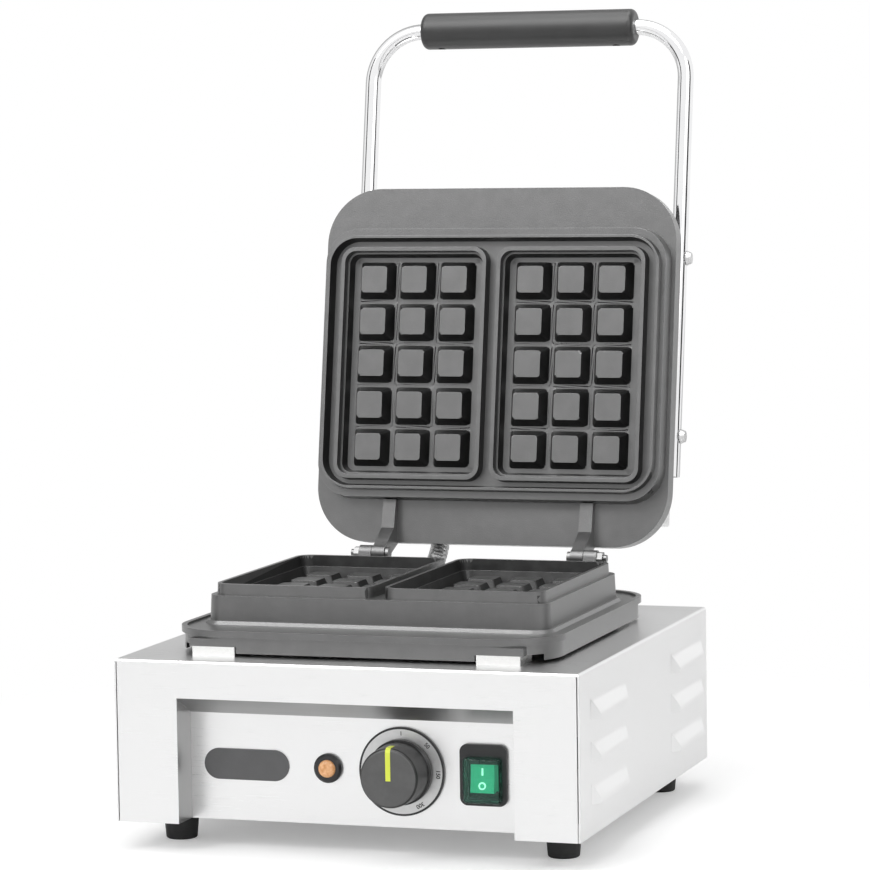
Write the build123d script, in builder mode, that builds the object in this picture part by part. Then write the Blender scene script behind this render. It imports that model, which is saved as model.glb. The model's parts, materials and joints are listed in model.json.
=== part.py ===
"""Counter-top waffle maker with two cast plates, modelled with the lid open.

Millimetres. X runs across the machine, Y from front to back, Z up from the table.
The lid is drawn in its own plane: x across, y up the open plate, z out of the plate
towards the user, with zero at the tops of its blocks.
"""
import os
from math import atan, cos, degrees, radians, sin

from build123d import *

os.makedirs("parts", exist_ok=True)

# Casing
casing_w = 305.0
casing_d = 314.0
casing_h = 104.0
sheet = 1.0
bend_r = 2.0
seam = 0.6
front_y = -212.5
clear = 0.3

# Feet
foot_h = 18.0
foot_top_r = 11.6
foot_low_r = 10.0
foot_inset_x = 24.5
foot_inset_front = 47.0
foot_inset_rear = 34.0
foot_bore_r = 2.2

# Control recess
recess_hw = 110.5
recess_h = 80.0
recess_d = 23.0
recess_slope = 12.0
panel_lap = 10.0

# Controls
control_h = 35.7
badge_x, badge_w, badge_h, badge_t = -72.8, 57.0, 19.8, 1.2
lamp_x, lamp_r, lens_r, lamp_body_r = -17.9, 9.25, 5.6, 6.0
dial_x, dial_r, dial_t = 31.0, 28.0, 1.2
knob_base_r, knob_face_r, knob_proud, knob_lift = 20.6, 18.8, 28.0, 1.6
spindle_r = 3.0
run_fit = 0.05
switch_x, switch_w, switch_h, switch_corner = 84.5, 30.5, 38.5, 5.0
boot_w, boot_h, boot_proud, boot_wall, boot_drop = 24.5, 28.5, 8.0, 1.1, 3.0
rocker_w, rocker_h, rocker_tilt = 15.3, 17.5, 6.0

# Louvres
louvre_l, louvre_h, louvre_out = 79.0, 13.0, 4.5
louvre_pitch = 26.4
louvre_low_z = 25.7
louvre_inset = 65.5

# Cast plates
plate_w, plate_l = 255.0, 250.0
plate_corner_r = 39.0
plate_t = 4.0
skirt_t = 3.0
rim_t = 2.5
rim_r = 8.0
rim_above = 2.5
lower_rim_above = 10.0
basin_w, basin_l = 101.3, 157.2
basin_gap = 13.0
block_pitch = 29.4
block_top, block_base, block_h = 18.45, 26.2, 10.0
block_rows, block_columns = 5, 3
cast_floor_t = 5.0
basin_lip, basin_lip_depth, lower_lip_depth = 1.6, 6.0, 7.5

# Lower plate heights above the casing
rim_over_casing = 40.5
flange_over_casing = 15.0
skirt_over_casing = 2.0
bracket_h, bracket_w, bracket_d = 6.0, 28.5, 25.0
bracket_inset_x, bracket_inset_y = 19.0, 2.0
lower_plate_inset = 21.3

# Lid
open_tilt = 9.855
rim_gap = 0.3
groove_depth = 6.0
ridge_in, ridge_base_t = 8.2, 6.5
ridge_over = 3.0
lid_flange_depth = 15.0
lid_skirt = 13.0
hinge_out = 7.3
hinge_below = 8.65
cover_hw, cover_depth = 110.5, 67.0
cover_inset = 19.0

# Hinge
barrel_r, pin_r = 5.5, 2.5
arm_x, arm_w, lug_w, knuckle_gap = 67.0, 9.2, 9.0, 0.4

# Handle
tube_r, tube_bore_r = 5.5, 4.2
grip_r, grip_l, grip_end = 13.0, 158.0, 4.0
grip_hole_x, grip_hole_r, grip_hole_depth = 65.0, 2.8, 5.5
leg_low, leg_depth = -4.0, 66.0
grip_up = 315.0
bend_radius = 37.0
bolt_up = (24.5, 150.0)

# Heating elements
element_r = 4.2
element_run_x = 88.0
element_step = 44.0
element_turn_r = 12.0

# Conduit between the base and the lid
entry_out = -40.5
conduit_x = -42.5
conduit_r, conduit_bore_r, rib_r, rib_w, rib_pitch = 5.4, 4.2, 6.5, 1.7, 3.4
conduit_from_rear = 12.5
conduit_in_base = 12.0

# Worked out from the sizes above
rear_y = front_y + casing_d
low_z = foot_h
top_z = low_z + casing_h
half_w = casing_w / 2
mid_y = front_y + casing_d / 2
panel_y = front_y + recess_d
recess_z = low_z + recess_h
panel_top_z = recess_z - recess_slope
control_z = low_z + control_h
switch_z = control_z - boot_drop
rim_z = top_z + rim_over_casing
block_z = rim_z - lower_rim_above
flange_z = top_z + flange_over_casing
floor_z = block_z - block_h
basin_x = (basin_gap + basin_w) / 2
rim_out_x = basin_gap / 2 + basin_w + rim_t
rim_out_l = basin_l + 2 * rim_t
plate_y = front_y + lower_plate_inset + plate_l / 2
block_draft = degrees(atan((block_base - block_top) / 2 / block_h))
wall_draft = 3.0
basin_draft = 16.0

lid_rise = sin(radians(open_tilt))
lid_lean = cos(radians(open_tilt))
lid_mid = ((block_rows - 1) * block_pitch + block_top) / 2
lid_low = lid_mid - plate_l / 2
hinge_v = lid_low - hinge_below
hinge_y = plate_y + lid_mid - hinge_v
hinge_z = rim_z + rim_gap + rim_above - hinge_out
lid_y = hinge_y - hinge_v * lid_rise + hinge_out * lid_lean
lid_z = hinge_z - hinge_v * lid_lean - hinge_out * lid_rise
lid_plane = Plane(origin=(0, lid_y, lid_z), x_dir=(1, 0, 0), z_dir=(0, -lid_lean, lid_rise))
panel_plane = Plane(origin=(0, panel_y, control_z), x_dir=(1, 0, 0), z_dir=(0, -1, 0))
lid_edge = Plane(origin=(0, lid_y, lid_z), x_dir=(1, 0, 0), z_dir=(0, lid_rise, lid_lean))


def lid_level(out):
    """The lid's plane, moved out of the plate towards the user."""
    return lid_plane.offset(out)


def side_profile(x):
    """A plane across the machine at x, with its own x along Y and its own y along Z."""
    return Plane(origin=(x, 0, 0), x_dir=(0, 1, 0), z_dir=(1, 0, 0))


def lid_profile(x):
    """A plane across the lid at x, with its own x up the plate and its own y into the lid."""
    up = (0, lid_rise, lid_lean)
    return Plane(origin=(x, lid_y, lid_z), x_dir=up, z_dir=(1, 0, 0))


# Casing shell: top, front frame and both sides bent from one sheet
with BuildPart() as casing_shell:
    with BuildSketch(Plane.XY.offset(low_z)):
        with Locations((0, mid_y)):
            Rectangle(casing_w, casing_d)
    extrude(amount=casing_h)
    top_edges = casing_shell.faces().sort_by(Axis.Z)[-1].edges()
    fillet(top_edges.sort_by(Axis.Y)[:-1], radius=bend_r)
    with BuildSketch(Plane.XY.offset(low_z)):
        with Locations((0, mid_y + sheet)):
            Rectangle(casing_w - 2 * sheet, casing_d)
    extrude(amount=casing_h - sheet, mode=Mode.SUBTRACT)
    with BuildSketch(Plane.XZ.offset(-front_y - sheet)) as recess_mouth:
        with Locations((0, low_z + recess_h / 2)):
            Rectangle(2 * recess_hw, recess_h)
        fillet(recess_mouth.vertices().sort_by(Axis.Z)[-2:], radius=bend_r)
    extrude(amount=3 * sheet, mode=Mode.SUBTRACT)
    with BuildSketch(side_profile(-recess_hw - sheet)):
        with BuildLine():
            Polyline(
                (front_y, low_z),
                (panel_y, low_z),
                (panel_y, panel_top_z + sheet),
                (front_y, recess_z + sheet),
                close=True,
            )
        make_face()
    extrude(amount=2 * (recess_hw + sheet))
    with BuildSketch(side_profile(-recess_hw)):
        with BuildLine():
            Polyline(
                (front_y - sheet, low_z),
                (panel_y + sheet, low_z),
                (panel_y + sheet, panel_top_z - sheet * recess_slope / recess_d),
                (front_y - sheet, recess_z + sheet * recess_slope / recess_d),
                close=True,
            )
        make_face()
    extrude(amount=2 * recess_hw, mode=Mode.SUBTRACT)
    with Locations(
        (half_w - sheet - seam / 2, front_y + sheet / 2, low_z + (casing_h - bend_r) / 2),
        (-half_w + sheet + seam / 2, front_y + sheet / 2, low_z + (casing_h - bend_r) / 2),
    ):
        Box(seam, sheet * 2, casing_h - bend_r, mode=Mode.SUBTRACT)
    with BuildSketch(Plane.XY.offset(top_z - 2 * sheet)):
        with Locations((0, plate_y)):
            RectangleRounded(plate_w - 105, plate_l - 65, 8)
        with Locations((conduit_x, rear_y - conduit_from_rear)):
            Circle(rib_r + 2.2)
    extrude(amount=4 * sheet, mode=Mode.SUBTRACT)
    with Locations(
        *[
            Pos(side * (half_w - sheet / 2), y, low_z + louvre_low_z + row * louvre_pitch - louvre_h / 4)
            for side in (-1, 1)
            for y in (front_y + louvre_inset, rear_y - louvre_inset + 10)
            for row in range(3)
        ]
    ):
        Box(2 * sheet, louvre_l - 12, louvre_h / 2, mode=Mode.SUBTRACT)
casing_shell.part.label = "casing_shell"

# Pressed louvre hood for the right side, open along its lower edge
with BuildPart() as louvre:
    with BuildSketch(side_profile(half_w)):
        Rectangle(louvre_l, louvre_h)
    with BuildSketch(side_profile(half_w + louvre_out)):
        with Locations((0, -louvre_h / 2 + 1.5)):
            Rectangle(louvre_l - 14, 3)
    loft()
    with BuildSketch(side_profile(half_w)):
        with Locations((0, -0.9)):
            Rectangle(louvre_l - 2.4, louvre_h)
    with BuildSketch(side_profile(half_w + louvre_out - 0.8)):
        with Locations((0, -louvre_h / 2 + 0.6)):
            Rectangle(louvre_l - 15, 3)
    loft(mode=Mode.SUBTRACT)
louvre.part.label = "louvre"

with BuildPart() as louvred_shell:
    add(casing_shell.part)
    for y in (front_y + louvre_inset, rear_y - louvre_inset + 10):
        for row in range(3):
            z = low_z + louvre_low_z + row * louvre_pitch
            with Locations((0, y, z)):
                add(louvre.part)
            with Locations((0, y, z)):
                add(louvre.part.mirror(Plane.YZ))
louvred_shell.part.label = "casing_shell"
export_step(louvred_shell.part, "parts/casing_shell.step")

# Base plate, a shallow pan with a step round the control recess
pan_front = front_y + sheet + clear
pan_rear = rear_y - sheet - clear
pan_hw = half_w - sheet - clear
foot_x = half_w - foot_inset_x
foot_spots = [
    (side * foot_x, y)
    for side in (-1, 1)
    for y in (front_y + foot_inset_front, rear_y - foot_inset_rear)
]
with BuildPart() as base_plate:
    with BuildSketch(Plane.XY.offset(low_z)):
        with Locations((0, (pan_front + pan_rear) / 2)):
            Rectangle(2 * pan_hw, pan_rear - pan_front)
        with Locations((0, front_y)):
            notch_hw, notch_d = recess_hw + panel_lap + clear, recess_d + sheet + clear
            Rectangle(2 * notch_hw, 2 * notch_d, mode=Mode.SUBTRACT)
        with Locations(*foot_spots):
            Circle(foot_bore_r + clear, mode=Mode.SUBTRACT)
        with Locations((0, mid_y + 30)):
            with GridLocations(60, 18, 3, 6):
                SlotOverall(44, 4, mode=Mode.SUBTRACT)
    extrude(amount=sheet)
    with Locations(
        (pan_hw - sheet / 2, (pan_front + pan_rear) / 2, low_z + 6),
        (-pan_hw + sheet / 2, (pan_front + pan_rear) / 2, low_z + 6),
    ):
        Box(sheet, pan_rear - pan_front, 12)
base_plate.part.label = "base_plate"
export_step(base_plate.part, "parts/base_plate.step")

# Rear panel with its folded edges, vents and the hole for the supply gland
gland_x, gland_z, gland_r = 95.0, low_z + 30.0, 8.0
rear_hw = half_w - sheet - clear
rear_low = low_z + sheet + clear
rear_top = top_z - sheet - clear
with BuildPart() as rear_panel:
    with BuildSketch(Plane.XZ.offset(-rear_y)):
        with Locations((0, (rear_low + rear_top) / 2)):
            Rectangle(2 * rear_hw, rear_top - rear_low)
        with Locations((gland_x, gland_z)):
            Circle(gland_r, mode=Mode.SUBTRACT)
        with Locations((-20, (rear_low + rear_top) / 2)):
            with GridLocations(52, 12, 3, 4):
                SlotOverall(40, 4, mode=Mode.SUBTRACT)
    extrude(amount=sheet)
    with Locations((0, rear_y - 6, rear_top - sheet / 2), (0, rear_y - 6, rear_low + sheet / 2)):
        Box(2 * rear_hw - 30, 12, sheet)
    with BuildSketch(Plane.XY.offset(rear_low - 1)):
        with Locations((conduit_x, rear_y - conduit_from_rear)):
            Rectangle(4 * rib_r, 4 * rib_r)
    extrude(amount=casing_h, mode=Mode.SUBTRACT)
    with Locations((conduit_x, rear_y - sheet / 2, (rear_low + rear_top) / 2)):
        Box(4 * rib_r + 2, sheet, rear_top - rear_low)
rear_panel.part.label = "rear_panel"
export_step(rear_panel.part, "parts/rear_panel.step")

# Rubber feet and the screws that hold them
for name, spot in zip(("front_left", "rear_left", "front_right", "rear_right"), foot_spots):
    with BuildPart() as foot:
        with BuildSketch(Plane.XY):
            with Locations(spot):
                Circle(foot_low_r)
        with BuildSketch(Plane.XY.offset(foot_h)):
            with Locations(spot):
                Circle(foot_top_r)
        loft()
        fillet(foot.edges().filter_by(GeomType.CIRCLE).sort_by(Axis.Z)[0], radius=1.5)
        with Locations((spot[0], spot[1], 0)):
            Cylinder(5.0, 8.0, align=(Align.CENTER, Align.CENTER, Align.MIN), mode=Mode.SUBTRACT)
        with Locations((spot[0], spot[1], 0)):
            Cylinder(
                foot_bore_r, foot_h, align=(Align.CENTER, Align.CENTER, Align.MIN), mode=Mode.SUBTRACT
            )
    foot.part.label = f"foot_{name}"
    export_step(foot.part, f"parts/foot_{name}.step")

with BuildPart() as foot_screws:
    with Locations(*[(x, y, 5.0) for x, y in foot_spots]):
        Cylinder(4.0, 3.0, align=(Align.CENTER, Align.CENTER, Align.MIN))
    with Locations(*[(x, y, 8.0) for x, y in foot_spots]):
        Cylinder(foot_bore_r - run_fit, foot_h - 4.0, align=(Align.CENTER, Align.CENTER, Align.MIN))
    with BuildSketch(Plane.XY.offset(low_z + sheet)):
        with Locations(*foot_spots):
            RegularPolygon(4.0, 6)
    extrude(amount=2.5)
foot_screws.part.label = "foot_screws"
export_step(foot_screws.part, "parts/foot_screws.step")

# Control panel behind the recess, folded back over the base plate
switch_hole_w, switch_hole_h = boot_w - 2.0, boot_h - 2.0
with BuildPart() as control_panel:
    with BuildSketch(panel_plane) as panel_face:
        with Locations((0, (low_z + panel_top_z + 6) / 2 - control_z)):
            Rectangle(2 * (recess_hw + panel_lap), panel_top_z + 6 - low_z)
        with Locations((lamp_x, 0)):
            Circle(lamp_body_r + run_fit, mode=Mode.SUBTRACT)
        with Locations((dial_x, 0)):
            Circle(5.1, mode=Mode.SUBTRACT)
        with Locations((switch_x, -boot_drop)):
            Rectangle(switch_hole_w + 2 * clear, switch_hole_h + 2 * clear, mode=Mode.SUBTRACT)
    extrude(amount=-sheet)
    with Locations((0, panel_y + 8, low_z + 1.5 * sheet)):
        Box(2 * recess_hw, 16, sheet)
control_panel.part.label = "control_panel"
export_step(control_panel.part, "parts/control_panel.step")

with BuildPart() as badge_plate:
    with BuildSketch(panel_plane):
        with Locations((badge_x, 0)):
            SlotOverall(badge_w, badge_h)
    extrude(amount=badge_t)
    fillet(badge_plate.faces().sort_by(Axis.Y)[0].edges(), radius=0.5)
badge_plate.part.label = "badge_plate"
export_step(badge_plate.part, "parts/badge_plate.step")

# Indicator lamp
with BuildPart() as lamp_bezel:
    with BuildSketch(panel_plane):
        with Locations((lamp_x, 0)):
            Circle(lamp_r)
            Circle(lens_r + run_fit, mode=Mode.SUBTRACT)
    extrude(amount=3.4)
    chamfer(lamp_bezel.faces().sort_by(Axis.Y)[0].edges().sort_by(SortBy.RADIUS)[-1], length=1.4)
    with BuildSketch(panel_plane):
        with Locations((lamp_x, 0)):
            Circle(lamp_body_r)
            Circle(lens_r + run_fit, mode=Mode.SUBTRACT)
    extrude(amount=-20)
lamp_bezel.part.label = "lamp_bezel"
export_step(lamp_bezel.part, "parts/lamp_bezel.step")

with BuildPart() as lamp_lens:
    with BuildSketch(panel_plane.offset(-16)):
        with Locations((lamp_x, 0)):
            Circle(lens_r)
    extrude(amount=22)
    fillet(lamp_lens.faces().sort_by(Axis.Y)[0].edges(), radius=2.6)
lamp_lens.part.label = "lamp_lens"
export_step(lamp_lens.part, "parts/lamp_lens.step")

with BuildPart() as lamp_nut:
    with BuildSketch(panel_plane.offset(-sheet)):
        with Locations((lamp_x, 0)):
            RegularPolygon(9.0, 6)
            Circle(lamp_body_r + run_fit, mode=Mode.SUBTRACT)
    extrude(amount=-4)
lamp_nut.part.label = "lamp_nut"
export_step(lamp_nut.part, "parts/lamp_nut.step")

# Dial ring, thermostat and its knob
with BuildPart() as dial_ring:
    with BuildSketch(panel_plane):
        with Locations((dial_x, 0)):
            Circle(dial_r)
            Circle(10.0, mode=Mode.SUBTRACT)
    extrude(amount=dial_t)
    with BuildSketch(panel_plane.offset(dial_t)):
        with Locations((dial_x, 0)):
            Circle(dial_r)
            Circle(dial_r - 1.6, mode=Mode.SUBTRACT)
    extrude(amount=0.7)
dial_ring.part.label = "dial_ring"
export_step(dial_ring.part, "parts/dial_ring.step")

with BuildPart() as thermostat_body:
    with Locations((dial_x, panel_y + sheet + 12, control_z)):
        Box(34, 24, 34)
    with BuildSketch(panel_plane):
        with Locations((dial_x, 0)):
            Circle(5.0)
    extrude(amount=1.4)
    with BuildSketch(panel_plane):
        with Locations((dial_x, 0)):
            Circle(5.0)
    extrude(amount=-2 * sheet)
    with BuildSketch(panel_plane.offset(3)):
        with Locations((dial_x, 0)):
            Circle(spindle_r + run_fit)
    extrude(amount=-20, mode=Mode.SUBTRACT)
thermostat_body.part.label = "thermostat_body"
export_step(thermostat_body.part, "parts/thermostat_body.step")

with BuildPart() as thermostat_spindle:
    with BuildSketch(panel_plane.offset(knob_proud - 4)) as d_shaft:
        with Locations((dial_x, 0)):
            Circle(spindle_r)
        with Locations((dial_x, -spindle_r + 0.4)):
            Rectangle(2 * spindle_r, 0.8, mode=Mode.SUBTRACT)
    extrude(amount=-(knob_proud - 14))
    with BuildSketch(panel_plane.offset(10)):
        with Locations((dial_x, 0)):
            Circle(spindle_r)
    extrude(amount=-24)
thermostat_spindle.part.label = "thermostat_spindle"
export_step(thermostat_spindle.part, "parts/thermostat_spindle.step")

pointer_w, pointer_in, pointer_down, pointer_t = 3.2, -1.5, 9.0, 0.6
knob_face = panel_y - knob_proud
knob_back = panel_y - dial_t - knob_lift
with BuildPart() as knob:
    with BuildSketch(side_profile(dial_x)):
        with BuildLine():
            Polyline(
                (knob_back, control_z),
                (knob_back, control_z + knob_base_r),
                (knob_back - 3, control_z + knob_base_r),
                (knob_back - 4, control_z + knob_face_r + 0.6),
                (knob_face + 2.4, control_z + knob_face_r),
            )
            ThreePointArc(
                (knob_face + 2.4, control_z + knob_face_r),
                (knob_face + 0.7, control_z + knob_face_r - 0.8),
                (knob_face, control_z + knob_face_r - 2.4),
            )
            Polyline((knob_face, control_z + knob_face_r - 2.4), (knob_face, control_z), (knob_back, control_z))
        make_face()
    revolve(axis=Axis((dial_x, 0, control_z), (0, 1, 0)))
    with BuildSketch(side_profile(dial_x)):
        with BuildLine():
            Polyline(
                (knob_back + 1, control_z + 4.5),
                (knob_back + 1, control_z + knob_base_r - 2.5),
                (knob_face + 6, control_z + knob_face_r - 3.0),
                (knob_face + 6, control_z + 5.5),
                close=True,
            )
        make_face()
    revolve(axis=Axis((dial_x, 0, control_z), (0, 1, 0)), mode=Mode.SUBTRACT)
    with BuildSketch(panel_plane.offset(knob_proud - 4)) as shaft_bore:
        with Locations((dial_x, 0)):
            Circle(spindle_r + run_fit)
        with Locations((dial_x, -spindle_r + 0.4 - run_fit)):
            Rectangle(2 * spindle_r, 0.8, mode=Mode.SUBTRACT)
    extrude(amount=-(knob_proud - 14), mode=Mode.SUBTRACT)
    with BuildSketch(panel_plane.offset(14)):
        with Locations((dial_x, 0)):
            Circle(spindle_r + run_fit)
    extrude(amount=-14, mode=Mode.SUBTRACT)
    with BuildSketch(side_profile(dial_x - pointer_w / 2)):
        with BuildLine():
            Polyline(
                (knob_face - 2, control_z + pointer_in),
                (knob_face + pointer_t, control_z + pointer_in),
                (knob_face + pointer_t, control_z + knob_face_r - 2.6),
                (knob_face + 2.6, control_z + knob_face_r - pointer_t),
                (knob_face + pointer_down, control_z + knob_face_r - pointer_t),
                (knob_face + pointer_down, control_z + knob_face_r + 4),
                (knob_face - 2, control_z + knob_face_r + 4),
                close=True,
            )
        make_face()
    extrude(amount=pointer_w, mode=Mode.SUBTRACT)
knob.part.label = "knob"
export_step(knob.part, "parts/knob.step")

with BuildPart() as knob_pointer:
    with BuildSketch(side_profile(dial_x - pointer_w / 2)):
        with BuildLine():
            Polyline(
                (knob_face - 0.2, control_z + pointer_in),
                (knob_face + pointer_t, control_z + pointer_in),
                (knob_face + pointer_t, control_z + knob_face_r - 2.6),
                (knob_face + 2.6, control_z + knob_face_r - pointer_t),
                (knob_face + pointer_down, control_z + knob_face_r - pointer_t),
                (knob_face + pointer_down, control_z + knob_face_r + 0.4),
                (knob_face + 2.2, control_z + knob_face_r + 0.2),
                (knob_face + 0.5, control_z + knob_face_r - 0.9),
                (knob_face - 0.2, control_z + knob_face_r - 2.6),
                close=True,
            )
        make_face()
    extrude(amount=pointer_w)
knob_pointer.part.label = "knob_pointer"
export_step(knob_pointer.part, "parts/knob_pointer.step")

# Rocker switch under its clear splash boot
with BuildPart() as switch_frame:
    with BuildSketch(panel_plane):
        with Locations((switch_x, 0)):
            RectangleRounded(switch_w, switch_h, switch_corner)
        with Locations((switch_x, -boot_drop)):
            RectangleRounded(boot_w + 2 * run_fit, boot_h + 2 * run_fit, 2.5, mode=Mode.SUBTRACT)
    extrude(amount=2.6)
    with BuildSketch(panel_plane):
        with Locations((switch_x, -boot_drop)):
            Rectangle(switch_hole_w, switch_hole_h)
            Rectangle(switch_hole_w - 2.4, switch_hole_h - 2.4, mode=Mode.SUBTRACT)
    extrude(amount=-22)
    with BuildSketch(panel_plane.offset(-22)):
        with Locations((switch_x, -boot_drop)):
            Rectangle(switch_hole_w, switch_hole_h)
    extrude(amount=-4)
    with BuildSketch(panel_plane.offset(-26)):
        with Locations((switch_x, -boot_drop)):
            with GridLocations(11, 13, 2, 2):
                Rectangle(0.8, 6.3)
    extrude(amount=-9)
switch_frame.part.label = "switch_frame"
export_step(switch_frame.part, "parts/switch_frame.step")

with BuildPart() as switch_boot:
    with BuildSketch(panel_plane):
        with Locations((switch_x, -boot_drop)):
            RectangleRounded(boot_w, boot_h, 2.5)
    extrude(amount=boot_proud)
    fillet(switch_boot.faces().sort_by(Axis.Y)[0].edges(), radius=2.2)
    with BuildSketch(panel_plane):
        with Locations((switch_x, -boot_drop)):
            RectangleRounded(boot_w - 2 * boot_wall, boot_h - 2 * boot_wall, 1.4)
    extrude(amount=boot_proud - boot_wall, mode=Mode.SUBTRACT)
switch_boot.part.label = "switch_boot"
export_step(switch_boot.part, "parts/switch_boot.step")

rocker_pivot = 6.0
rocker_reach = 4.6
rocker_axis_y = panel_y + rocker_pivot
with BuildPart() as rocker:
    with BuildSketch(side_profile(switch_x - rocker_w / 2)):
        with BuildLine():
            Polyline(
                (rocker_axis_y, switch_z - 4),
                (rocker_axis_y - rocker_pivot - 1, switch_z - rocker_h / 2),
                (rocker_axis_y - rocker_pivot - rocker_reach, switch_z - rocker_h / 2),
                (rocker_axis_y - rocker_pivot - rocker_reach + 0.9, switch_z),
                (rocker_axis_y - rocker_pivot - rocker_reach, switch_z + rocker_h / 2),
                (rocker_axis_y - rocker_pivot - 1, switch_z + rocker_h / 2),
                (rocker_axis_y, switch_z + 4),
                close=True,
            )
        make_face()
    extrude(amount=rocker_w)
    with Locations((switch_x, rocker_axis_y, switch_z)):
        Cylinder(3.0, rocker_w, rotation=(0, 90, 0))
    with Locations((switch_x, rocker_axis_y, switch_z)):
        Cylinder(1.25, rocker_w + 2, rotation=(0, 90, 0), mode=Mode.SUBTRACT)
rocker.part.label = "rocker"
rocker_axis = Axis((switch_x, rocker_axis_y, switch_z), (1, 0, 0))
export_step(rocker.part.rotate(rocker_axis, -rocker_tilt), "parts/rocker.step")

rocker_face = rocker_axis_y - rocker_pivot - rocker_reach + 0.45
with BuildPart() as rocker_marks:
    with Locations((switch_x, rocker_face - 0.05, switch_z + 4.4)):
        Box(1.1, 0.8, 4.6)
    with BuildSketch(Plane.XZ.offset(-rocker_face - 0.35)):
        with Locations((switch_x, switch_z - 4.4)):
            Circle(2.4)
            Circle(1.5, mode=Mode.SUBTRACT)
    extrude(amount=0.8)
    add(rocker.part, mode=Mode.SUBTRACT)
rocker_marks.part.label = "rocker_marks"
export_step(rocker_marks.part.rotate(rocker_axis, -rocker_tilt), "parts/rocker_marks.step")

rocker_pin_l = switch_hole_w - 2.4
with BuildPart() as rocker_pin:
    with Locations((switch_x, rocker_axis_y, switch_z)):
        Cylinder(1.2, rocker_pin_l, rotation=(0, 90, 0))
rocker_pin.part.label = "rocker_pin"
export_step(rocker_pin.part, "parts/rocker_pin.step")

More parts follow.
